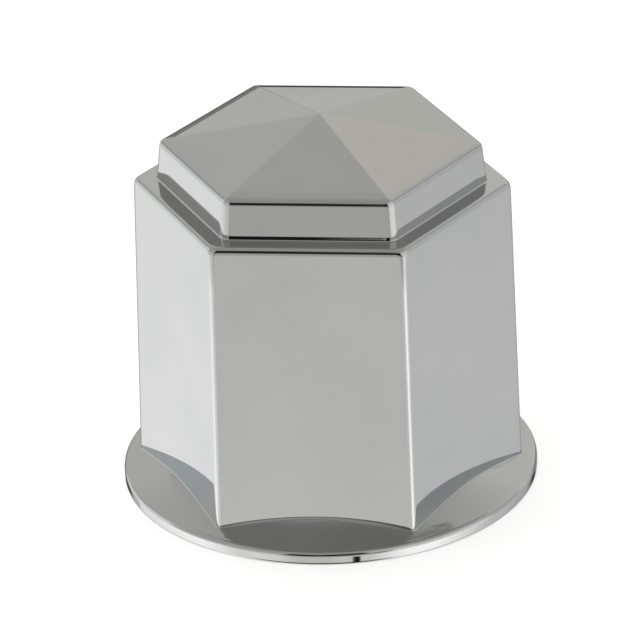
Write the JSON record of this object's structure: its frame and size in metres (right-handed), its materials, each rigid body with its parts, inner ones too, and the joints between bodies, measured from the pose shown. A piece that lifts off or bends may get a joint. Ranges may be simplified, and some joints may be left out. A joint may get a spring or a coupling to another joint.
{
  "type": "wheel nut cover cap",
  "caption": "Hollow hexagonal push-on cover for a wheel nut, mirror chrome plated, with a round conical flange, a narrower crown with a low point and grip ribs inside.",
  "frame": {"origin": "centre of the flange's seat ring, on the cap's axis", "axes": "+Z along the cap's axis from the open mouth to the point; two flats face +Y and -Y, two corners point to +X and -X"},
  "size_m": [0.0508, 0.0508, 0.0474],
  "materials": {
    "chrome_plating": "mirror chrome plating on moulded plastic"
  },
  "bodies": {
    "root": {"cover_cap": "chrome_plating"}
  },
  "joints": []
}
